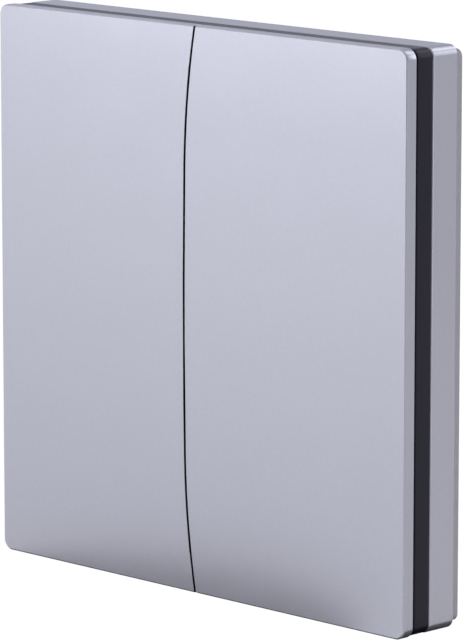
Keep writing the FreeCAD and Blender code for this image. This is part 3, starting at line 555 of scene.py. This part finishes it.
def outer_edges(mesh: bmesh.types.BMesh, reach: float = 1.2 * MM, turn: float = math.radians(30)) -> Edges:
    """Finds the sharp edges on the outside of a moulding.

    Args:
        mesh: The moulding's mesh.
        reach: How far in from the outline an edge may lie.
        turn: How much an edge turns at least.

    Returns:
        The edges of which both ends lie within reach of the outline.
    """
    low, high = mesh_box(mesh)

    def outside(place: Vector) -> bool:
        """Says whether a place lies near the outline."""
        return min(*(place[i] - low[i] for i in (0, 2)), *(high[i] - place[i] for i in (0, 2))) < reach

    return [
        edge
        for edge in mesh.edges
        if len(edge.link_faces) == 2
        and edge.calc_face_angle() >= turn
        and all(outside(v.co) for v in edge.verts)
    ]


def merged_mesh(source: str) -> bmesh.types.BMesh:
    """Copies a node's mesh and joins its faces where they meet.

    Args:
        source: The node's name.

    Returns:
        The copy.
    """
    mesh = bmesh.new()
    mesh.from_mesh(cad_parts[source].data)
    bmesh.ops.remove_doubles(mesh, verts=mesh.verts, dist=MERGE)
    return mesh


def linked_object(name: str, data: bpy.types.Mesh) -> bpy.types.Object:
    """Makes an object of a mesh.

    Args:
        name: The object's name.
        data: Its mesh.

    Returns:
        The object, linked to the scene.
    """
    thing = bpy.data.objects.new(name, data)
    bpy.context.scene.collection.objects.link(thing)
    return thing


def smooth_object(name: str, mesh: bmesh.types.BMesh, crease: float) -> bpy.types.Object:
    """Turns a finished mesh into a smooth-shaded object and frees it.

    Args:
        name: The object's name.
        mesh: The finished mesh.
        crease: The turn from which an edge stays sharp.

    Returns:
        The object, linked to the scene.
    """
    data = bpy.data.meshes.new(name)
    mesh.to_mesh(data)
    mesh.free()
    data.polygons.foreach_set("use_smooth", [True] * len(data.polygons))
    data.set_sharp_from_angle(angle=crease)
    return linked_object(name, data)


def flat_sheet(name: str, corners: list[Place]) -> bpy.types.Object:
    """Makes a flat sheet for the studio.

    Args:
        name: The sheet's name.
        corners: Its corners in order.

    Returns:
        The sheet.
    """
    data = bpy.data.meshes.new(name)
    data.from_pydata(corners, [], [tuple(range(len(corners)))])
    sheet = linked_object(name, data)
    return sheet


@dataclass(frozen=True)
class Rounding:
    """How the outer edges of a moulding are rounded. Square edges get the wider round."""

    width: float
    segments: int = 3
    square_share: float = 1.8
    square_turn: float = math.radians(75)
    flat_turn: float = math.radians(0.4)
    crease: float = math.radians(40)
    roundness: float = 0.5
    flat_weight: int = 100

    def soften(
        self, source: str, name: str, reshape: Callable[[bmesh.types.BMesh], None] | None = None
    ) -> bpy.types.Object:
        """Makes a moulding again with real rounds on its outer edges.

        Args:
            source: The model's node whose form the moulding has.
            name: The new piece's name.
            reshape: Changes the mesh before its edges are rounded.

        Returns:
            The new piece, linked to the scene.
        """
        mesh = merged_mesh(source)
        bmesh.ops.dissolve_limit(mesh, angle_limit=self.flat_turn, verts=mesh.verts, edges=mesh.edges)
        low, high = mesh_box(mesh)
        if reshape:
            reshape(mesh)
        for square, offset in ((True, self.square_share * self.width), (False, self.width)):
            edges = [e for e in outer_edges(mesh) if (e.calc_face_angle() > self.square_turn) == square]
            bmesh.ops.bevel(
                mesh,
                geom=edges,
                offset=offset,
                segments=self.segments,
                profile=self.roundness,
                affect="EDGES",
                clamp_overlap=True,
            )
        for vert in mesh.verts:
            vert.co = [min(max(vert.co[i], low[i]), high[i]) for i in range(3)]
        piece = smooth_object(name, mesh, self.crease)
        weighted = piece.modifiers.new("flat faces stay flat", "WEIGHTED_NORMAL")
        weighted.keep_sharp = True
        weighted.weight = self.flat_weight
        return piece


def dress(thing: bpy.types.Object, material: bpy.types.Material) -> None:
    """Gives a piece or a node of the model one material.

    Args:
        thing: The piece or node.
        material: What it is dressed in.
    """
    if not thing.material_slots:
        thing.data.materials.append(material)
    for slot in thing.material_slots:
        slot.material = material


def island_boxes(source: str) -> list[Box]:
    """Finds the separate bodies of a node of the model.

    Args:
        source: The node's name.

    Returns:
        The low and high corner of each body.
    """
    mesh = merged_mesh(source)
    left = set(mesh.verts)
    boxes = []
    while left:
        front = [left.pop()]
        places = []
        while front:
            vert = front.pop()
            places.append(vert.co.copy())
            near = {edge.other_vert(vert) for edge in vert.link_edges} & left
            left -= near
            front.extend(near)
        low, high = (Vector([pick(p[i] for p in places) for i in range(3)]) for pick in (min, max))
        boxes.append((low, high))
    mesh.free()
    return boxes


class SmallParts:
    """A mesh that gathers many small shapes of one piece.

    The hollow is a solder fillet's section, in shares of its reach and its rise.
    """

    crease: float = math.radians(35)
    hollow = ((0.0, 0.0), (1.0, 0.0), (0.62, 0.1), (0.3, 0.32), (0.12, 0.62), (0.0, 1.0))

    def __init__(self) -> None:
        """Starts with an empty mesh."""
        self.mesh = bmesh.new()

    def prism(self, profile: list[Vector], sweep: Vector) -> None:
        """Adds a closed shape that is swept in a straight line.

        Args:
            profile: The corners of its section.
            sweep: How far and which way it is swept.
        """
        near = [self.mesh.verts.new(place) for place in profile]
        far = [self.mesh.verts.new(place + sweep) for place in profile]
        self.mesh.faces.new(near)
        self.mesh.faces.new(reversed(far))
        for index, vert in enumerate(near):
            after = (index + 1) % len(near)
            self.mesh.faces.new((near[after], vert, far[index], far[after]))

    def block(self, low: Vector, high: Vector, edge: float) -> None:
        """Adds a block whose long edges are broken.

        Args:
            low: Its low corner.
            high: Its high corner.
            edge: The size of the broken edges.
        """
        corners = []
        for x, z in ((low.x, low.z), (high.x, low.z), (high.x, high.z), (low.x, high.z)):
            inward_x = edge if x == low.x else -edge
            inward_z = edge if z == low.z else -edge
            pair = [Vector((x, low.y, z + inward_z)), Vector((x + inward_x, low.y, z))]
            corners += pair if inward_x == inward_z else reversed(pair)
        self.prism(corners, Vector((0.0, high.y - low.y, 0.0)))

    def fillet(self, foot: Vector, outward: Vector, rise: Vector, width: float) -> None:
        """Adds a hollow-faced solder fillet between a part's side and the board.

        Args:
            foot: The middle of the line where the part's side meets the board.
            outward: From there to the fillet's toe on the board.
            rise: From there to the fillet's top on the part.
            width: The fillet's width along the side.
        """
        along = outward.cross(rise).normalized() * width
        start = foot - along / 2
        self.prism([start + outward * out + rise * up for out, up in self.hollow], along)

    def ring(self, middle: Vector, inner: float, outer: float, depth: float, steps: int = 96) -> None:
        """Adds a flat ring round the Y axis.

        Args:
            middle: Its middle, on its back face.
            inner: Its inner radius.
            outer: Its outer radius.
            depth: Its thickness, towards the front.
            steps: Its corners.
        """
        rims = []
        for radius, shift in ((inner, 0.0), (outer, 0.0), (outer, -depth), (inner, -depth)):
            turns = [2 * math.pi * step / steps for step in range(steps)]
            places = [middle + Vector((radius * math.cos(t), shift, radius * math.sin(t))) for t in turns]
            rims.append([self.mesh.verts.new(place) for place in places])
        for rim, after in zip(rims, rims[1:] + rims[:1]):
            for step in range(steps):
                following = (step + 1) % steps
                self.mesh.faces.new((rim[step], rim[following], after[following], after[step]))

    def finished(self, name: str) -> bpy.types.Object:
        """Turns the gathered shapes into an object in the scene, and returns it."""
        bmesh.ops.recalc_face_normals(self.mesh, faces=self.mesh.faces)
        return smooth_object(name, self.mesh, self.crease)


# Sub-assemblies


@dataclass
class Assembly:
    """A group of pieces that are built and dressed together."""

    title: str = "assembly"
    pieces: list[str] = field(default_factory=list)

    def place(self, piece: bpy.types.Object, body: str, slot: str, finish: Finish) -> None:
        """Dresses a new piece and lets it ride.

        Args:
            piece: The piece.
            body: The body that carries it.
            slot: Not used.
            finish: What it is dressed in.
        """
        dress(piece, finish.material())
        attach(piece, body)
        self.pieces.append(piece.name)

    def mould(
        self,
        source: str,
        body: str,
        slot: str,
        rounding: Rounding,
        finish: Finish,
        reshape: Callable[[bmesh.types.BMesh], None] | None = None,
    ) -> bpy.types.Object:
        """Builds a softened moulding over its node.

        Args:
            source: The node that it stands for.
            body: The body that carries it.
            slot: The name of a material slot, passed on to place.
            rounding: How its edges are rounded.
            finish: What it is dressed in.
            reshape: Changes its mesh before its edges are rounded.

        Returns:
            The moulding.
        """
        piece = rounding.soften(source, f"{source}_shell", reshape)
        self.place(piece, body, slot, finish)
        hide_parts(source)
        return piece

    def dress_nodes(self, finishes: dict[str, Finish]) -> None:
        """Dresses nodes of the model that keep their form.

        Args:
            finishes: The finish of each node.
        """
        made: dict[str, bpy.types.Material] = {}
        for name, finish in finishes.items():
            if finish.name not in made:
                made[finish.name] = finish.material()
            dress(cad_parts[name], made[finish.name])
            self.pieces.append(name)

    def report(self) -> None:
        """Logs each piece of the assembly."""
        for name in self.pieces:
            LOG.info("%s: %s", self.title, name)


@dataclass
class RockerKeys(Assembly):
    """The two keys with their curved seam."""

    title: str = "keys"
    rounding: Rounding = Rounding(0.07 * MM)

    def build(self) -> None:
        """Builds and dresses both keys, whose walls along the seam get a near-black painted shade."""
        for label, side in (("left_key", -1), ("right_key", 1)):
            sharpen = partial(SEAM.sharpen, side=side)
            key = self.mould(label, label, "key_finish", self.rounding, KEY_PAINT, sharpen)
            # The second slot holds the painted shade of the seam wall
            key.data.materials.append(SEAM_SHADE_PAINT.material())


@dataclass
class Housing(Assembly):
    """The dark band, the silver base and the wall plate."""

    title: str = "housing"
    band_rounding: Rounding = Rounding(0.12 * MM)
    base_rounding: Rounding = Rounding(0.06 * MM)
    plate_rounding: Rounding = Rounding(0.08 * MM)

    def build(self) -> None:
        """Builds and dresses the three mouldings."""
        self.mould("carrier", "housing", "dark_plastic", self.band_rounding, BAND_PLASTIC)
        self.mould("base_housing", "housing", "base_finish", self.base_rounding, BASE_PAINT)
        self.mould("wall_plate", "housing", "plate_plastic", self.plate_rounding, PLATE_PLASTIC)


@dataclass
class BatteryBay(Assembly):
    """The lid, the cell, its holder and its contacts."""

    title: str = "battery bay"
    cap_radius: float = 8.8 * MM
    cap_rise: float = 0.25 * MM
    gasket_width: float = 0.35 * MM
    gasket_depth: float = 0.05 * MM

    def build_gasket(self) -> None:
        """Builds the cell's gasket, the dark ring round its cap."""
        low, high = island_boxes("coin_cell")[0]
        middle = Vector(((low.x + high.x) / 2, low.y + self.cap_rise, (low.z + high.z) / 2))
        parts = SmallParts()
        parts.ring(middle, self.cap_radius, self.cap_radius + self.gasket_width, self.gasket_depth)
        self.place(parts.finished("cell_gasket"), "housing", "holder_plastic", BLACK_MOULDING)

    def build(self) -> None:
        """Builds the gasket and dresses the bay's nodes."""
        self.build_gasket()
        self.dress_nodes(
            {
                "battery_lid": BASE_PAINT,
                "coin_cell": CELL_STEEL,
                "cell_holder": BLACK_MOULDING,
                "positive_contact": SPRING_PLATING,
                "negative_contact": SPRING_PLATING,
            }
        )


class Sides(Enum):
    """The sides of a component that are soldered, each an axis across the board and a sign."""

    ENDS = ((0, -1), (0, 1))
    TOP_AND_BOTTOM = ((2, -1), (2, 1))
    ALL = ((0, -1), (0, 1), (2, -1), (2, 1))


@dataclass(frozen=True)
class SolderRow:
    """The solder at the foot of a node's components: on each side so many fillets of a size.

    Where a pitch is given, it sets how many there are.
    """

    source: str
    sides: Sides
    count: int
    width: float
    reach: float
    on_front: bool = False
    pitch: float = 0.0
    rise_share: float = 0.8

    def lay_side(self, parts: SmallParts, box: Box, axis: int, sign: int) -> None:
        """Lays the fillets along one side of a component.

        Args:
            parts: The mesh that gets them.
            box: The component's box.
            axis: The axis that the side faces, 0 or 2.
            sign: Which way it faces along it.
        """
        low, high = box
        along = 2 - axis
        count = round((high.x - low.x) / self.pitch) - 1 if self.pitch else self.count
        outward = Vector((0.0, 0.0, 0.0))
        outward[axis] = sign * self.reach
        height = self.rise_share * self.reach
        rise = Vector((0.0, -height if self.on_front else height, 0.0))
        for number in range(count):
            foot = (low + high) / 2
            foot.y = high.y if self.on_front else low.y
            foot[axis] = high[axis] if sign > 0 else low[axis]
            foot[along] = low[along] + (high[along] - low[along]) * (number + 0.5) / count
            parts.fillet(foot, outward, rise, self.width)

    def lay(self, parts: SmallParts) -> None:
        """Lays all the fillets.

        Args:
            parts: The mesh that gets them.
        """
        for box in island_boxes(self.source):
            for axis, sign in self.sides.value:
                self.lay_side(parts, box, axis, sign)


@dataclass
class RadioBoard(Assembly):
    """The circuit board, its switches and its components."""

    title: str = "board"
    proud: float = 0.02 * MM
    cap_share: float = 0.2
    broken_edge: float = 0.04 * MM
    solder_rows: tuple[SolderRow, ...] = (
        SolderRow("radio_chip", Sides.ALL, 0, 0.26 * MM, 0.16 * MM, pitch=0.5 * MM),
        SolderRow("shield_can", Sides.ALL, 4, 1.3 * MM, 0.3 * MM),
        SolderRow("bulk_capacitor", Sides.ENDS, 1, 2.9 * MM, 0.5 * MM),
        SolderRow("status_led", Sides.ENDS, 1, 0.6 * MM, 0.2 * MM, on_front=True),
        SolderRow("left_switch_body", Sides.ENDS, 2, 0.9 * MM, 0.5 * MM, on_front=True),
        SolderRow("right_switch_body", Sides.ENDS, 2, 0.9 * MM, 0.5 * MM, on_front=True),
        SolderRow("crystal", Sides.TOP_AND_BOTTOM, 2, 0.8 * MM, 0.2 * MM),
        SolderRow("chip_capacitors", Sides.TOP_AND_BOTTOM, 1, 0.7 * MM, 0.22 * MM),
    )

    def build_end_caps(self) -> None:
        """Builds the plated end caps of the capacitors."""
        parts = SmallParts()
        swell = Vector((self.proud, self.proud, self.proud))
        across = Vector((self.proud, 0.0, self.proud))
        for low, high in island_boxes("bulk_capacitor") + island_boxes("chip_capacitors"):
            axis = 0 if high.x - low.x > high.z - low.z else 2
            length = (high[axis] - low[axis]) * self.cap_share
            near, far = high.copy(), low.copy()
            near[axis], far[axis] = low[axis] + length, high[axis] - length
            parts.block(low - across, near + swell, self.broken_edge)
            parts.block(far - across, high + swell, self.broken_edge)
        self.place(parts.finished("capacitor_caps"), "housing", "can_metal", TIN_PLATING)

    def build_solder(self) -> None:
        """Builds the solder fillets at the foot of each component."""
        parts = SmallParts()
        for row in self.solder_rows:
            row.lay(parts)
        self.place(parts.finished("solder_joints"), "housing", "can_metal", SOLDER)

    def build(self) -> None:
        """Builds the small parts on the board and dresses its nodes."""
        self.build_end_caps()
        self.build_solder()
        finishes: dict[str, Finish] = {
            "circuit_board": SOLDER_MASK,
            "radio_chip": CHIP_EPOXY,
            "shield_can": TIN_PLATING,
            "crystal": TIN_PLATING,
            "bulk_capacitor": TAN_CERAMIC,
            "chip_capacitors": TAN_CERAMIC,
            "status_led": MILKY_RESIN,
            "antenna": SPRING_PLATING,
            "board_screws": ZINC_PLATING,
            "housing_screws": ZINC_PLATING,
        }
        for side in ("left", "right"):
            finishes[f"{side}_switch_body"] = BLACK_MOULDING
            finishes[f"{side}_switch_cover"] = TIN_PLATING
            finishes[f"{side}_plunger"] = NATURAL_MOULDING
        self.dress_nodes(finishes)


# Studio


def direction(azimuth: float, elevation: float) -> Vector:
    """Turns two angles into a direction from the object.

    Args:
        azimuth: In degrees, 0 straight in front and 90 on the right.
        elevation: In degrees, upwards.

    Returns:
        The direction, one long.
    """
    turn, rise = math.radians(azimuth), math.radians(elevation)
    return Vector((math.sin(turn) * math.cos(rise), -math.cos(turn) * math.cos(rise), math.sin(rise)))


@dataclass(frozen=True)
class Softbox:
    """A soft rectangular lamp.

    Its azimuth is 0 straight in front and 90 on the right, in degrees. Its level is the
    brightness of its face, where 1 is white. Its aim is what it looks at.
    """

    name: str
    azimuth: float
    elevation: float
    distance: float
    width: float
    height: float
    level: float
    aim: Place = (0.0, -0.006, 0.0)

    def build(self) -> None:
        """Makes the lamp and aims it."""
        light = bpy.data.lights.new(self.name, "AREA")
        light.shape = "RECTANGLE"
        light.size = self.width
        light.size_y = self.height
        light.energy = self.level * math.pi * self.width * self.height
        lamp = bpy.data.objects.new(self.name, light)
        lamp.location = direction(self.azimuth, self.elevation) * self.distance
        lamp.rotation_euler = (Vector(self.aim) - lamp.location).to_track_quat("-Z", "Y").to_euler()
        bpy.context.scene.collection.objects.link(lamp)


@dataclass(frozen=True)
class RestPad:
    """Thin felt under the object and in front of it, which the camera doesn't see.

    It keeps light off the lower edges, as the support that such an object stands on does. The
    dark part lies under the object, and the grey part is a half oval in front.
    """

    level: float = -0.0433
    half_width: float = 0.0449
    front: float = -0.0125
    back: float = 0.0015
    oval_middle: float = -0.011
    oval_half_width: float = 0.0385
    oval_reach: float = 0.025
    oval_drop: float = 0.003
    steps: int = 48

    def lay_under(self) -> None:
        """Lays the part under the object."""
        rim = [(1, self.front), (1, self.back), (-1, self.back), (-1, self.front)]
        pad = flat_sheet("rest_pad", [(side * self.half_width, y, self.level) for side, y in rim])
        dress(pad, DARK_FELT.material())
        pad.visible_camera = False

    def lay_before(self) -> None:
        """Lays the half oval in front of the object."""
        rim = []
        for step in range(self.steps + 1):
            turn = math.pi * (1 + step / self.steps)
            x = self.oval_middle + self.oval_half_width * math.cos(turn)
            rim.append((x, self.front + self.oval_reach * math.sin(turn), self.level - self.oval_drop))
        pad = flat_sheet("front_pad", rim)
        dress(pad, GREY_FELT.material())
        pad.visible_camera = False

    def build(self) -> None:
        """Lays both parts."""
        self.lay_under()
        self.lay_before()


@dataclass(frozen=True)
class DarkCard:
    """Dark felt behind the camera, which only mirrored rays meet.

    It keeps the narrow edges that face the camera from shining, as the dark end of a room does.
    """

    azimuth: float = 45.0
    elevation: float = 10.0
    distance: float = 0.80
    half_width: float = 0.22
    half_height: float = 0.30

    def build(self) -> None:
        """Hangs the card."""
        away = direction(self.azimuth, self.elevation)
        aside = direction(self.azimuth + 90, 0) * self.half_width
        upward = away.cross(aside).normalized() * self.half_height
        middle = away * self.distance
        corners = [middle + aside * x + upward * z for x, z in ((-1, -1), (1, -1), (1, 1), (-1, 1))]
        card = flat_sheet("dark_card", [tuple(corner) for corner in corners])
        dress(card, DARK_FELT.material())
        card.visible_camera = False
        card.visible_diffuse = False
        card.visible_transmission = False
        card.visible_shadow = False


@dataclass
class Studio:
    """A pale floor, a white surround, soft lamps and the camera."""

    floor_level: float = -0.105
    floor_reach: float = 3.0
    near_white: float = 0.78
    white_start: float = 0.25
    white_end: float = 0.8
    surround: float = 0.06
    mirrored: Colour = (0.84, 0.85, 0.97)
    mirrored_level: float = 0.78
    floor_colour: Colour = (0.80, 0.80, 0.80)
    floor_roughness: float = 0.9
    sensor: float = 36.0
    lens: float = 264.55
    clip_start: float = 0.05
    camera_place: Place = (0.49442, -0.49598, 0.12145)
    camera_azimuth: float = 45.139
    camera_elevation: float = 10.05
    lamps: tuple[Softbox, ...] = (
        Softbox("brow_box", -24.0, 30.2, 0.130, 0.21, 0.03, 5.7, (-0.045, -0.012, 0.03)),
        Softbox("near_box", 0.0, 24.4, 0.2417, 0.20, 0.10, 0.6),
        Softbox("front_box", 0.0, 0.0, 0.60, 0.25, 0.25, 6.9),
        Softbox("left_box", -32.0, 0.0, 0.60, 0.25, 0.25, 0.4),
        Softbox("right_box", 90.0, 0.0, 0.60, 0.25, 0.25, 2.32),
        Softbox("rear_box", 150.0, 20.0, 0.60, 0.25, 0.25, 3.2),
        Softbox("top_box", 165.0, 45.0, 0.60, 0.25, 0.25, 2.5),
    )

    def build_floor(self) -> None:
        """Lays the floor, which looks white to the camera and keeps its shadows."""
        reach = self.floor_reach
        rim = [(-reach, -reach), (reach, -reach), (reach, reach), (-reach, reach)]
        floor = flat_sheet("floor", [(x, y, self.floor_level) for x, y in rim])
        material = bpy.data.materials.new("floor paper")
        material.use_nodes = True
        tree = material.node_tree
        shader = tree.nodes["Principled BSDF"]
        shader.inputs["Base Color"].default_value = (*self.floor_colour, 1.0)
        shader.inputs["Roughness"].default_value = self.floor_roughness
        shader.inputs["Specular IOR Level"].default_value = 0.0
        shader.inputs["Emission Color"].default_value = (*WHITE, 1.0)
        place = node(tree, "TexCoord")
        reach_out = node(tree, "VectorMath", operation="LENGTH")
        fade = node(tree, "MapRange", From_Min=self.white_start, From_Max=self.white_end)
        fade.inputs["To Min"].default_value = self.near_white
        glow = node(tree, "Math", operation="MULTIPLY")
        tree.links.new(place.outputs["Object"], reach_out.inputs[0])
        tree.links.new(reach_out.outputs["Value"], fade.inputs["Value"])
        tree.links.new(self.seen_rays(tree, 0.0), glow.inputs[0])
        tree.links.new(fade.outputs["Result"], glow.inputs[1])
        tree.links.new(glow.outputs[0], shader.inputs["Emission Strength"])
        dress(floor, material)

    def seen_rays(self, tree: bpy.types.NodeTree, low: float) -> bpy.types.NodeSocket:
        """Gives one value to rays that light the object and others to rays that show the surround.

        Args:
            tree: The tree that gets the nodes.
            low: The value for rays that light.

        Returns:
            The socket with the value, which is 1 for camera and transmission rays.
        """
        path = node(tree, "LightPath")
        shown = node(tree, "Math", operation="MAXIMUM")
        tree.links.new(path.outputs["Is Camera Ray"], shown.inputs[0])
        tree.links.new(path.outputs["Is Transmission Ray"], shown.inputs[1])
        mirrored = node(tree, "MapRange", To_Min=low, To_Max=self.mirrored_level)
        tree.links.new(path.outputs["Is Glossy Ray"], mirrored.inputs["Value"])
        level = node(tree, "MapRange", To_Max=1.0)
        tree.links.new(shown.outputs[0], level.inputs["Value"])
        tree.links.new(mirrored.outputs["Result"], level.inputs["To Min"])
        return level.outputs["Result"]

    def build_world(self) -> None:
        """Makes the surround: white to look at, and a plain soft fill on the object."""
        world = bpy.data.worlds.new("surround")
        world.use_nodes = True
        tree = world.node_tree
        background = tree.nodes["Background"]
        tint = colour_mix(tree, WHITE, self.mirrored)
        path = node(tree, "LightPath")
        tree.links.new(path.outputs["Is Glossy Ray"], tint.inputs["Factor"])
        tree.links.new(tint.outputs[MIX_RESULT], background.inputs["Color"])
        tree.links.new(self.seen_rays(tree, self.surround), background.inputs["Strength"])
        bpy.context.scene.world = world

    def build_camera(self) -> None:
        """Sets up the camera at the photograph's angle."""
        data = bpy.data.cameras.new("camera")
        data.sensor_width = self.sensor
        data.lens = self.lens
        data.clip_start = self.clip_start
        camera = bpy.data.objects.new("camera", data)
        towards = -direction(self.camera_azimuth, self.camera_elevation)
        camera.location = self.camera_place
        camera.rotation_euler = towards.to_track_quat("-Z", "Y").to_euler()
        bpy.context.scene.collection.objects.link(camera)
        bpy.context.scene.camera = camera

    def build(self) -> None:
        """Builds the whole studio."""
        self.build_camera()
        self.build_floor()
        self.build_world()
        RestPad().build()
        DarkCard().build()
        for lamp in self.lamps:
            lamp.build()
            LOG.info("studio: %s", lamp.name)
        bpy.context.scene.view_settings.view_transform = "Standard"


def main() -> None:
    """Builds the studio and the switch."""
    logging.basicConfig(level=logging.INFO, format="%(message)s")
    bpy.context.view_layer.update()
    Studio().build()
    for assembly in (RockerKeys(), Housing(), BatteryBay(), RadioBoard()):
        assembly.build()
        assembly.report()


if __name__ == "__main__":
    main()
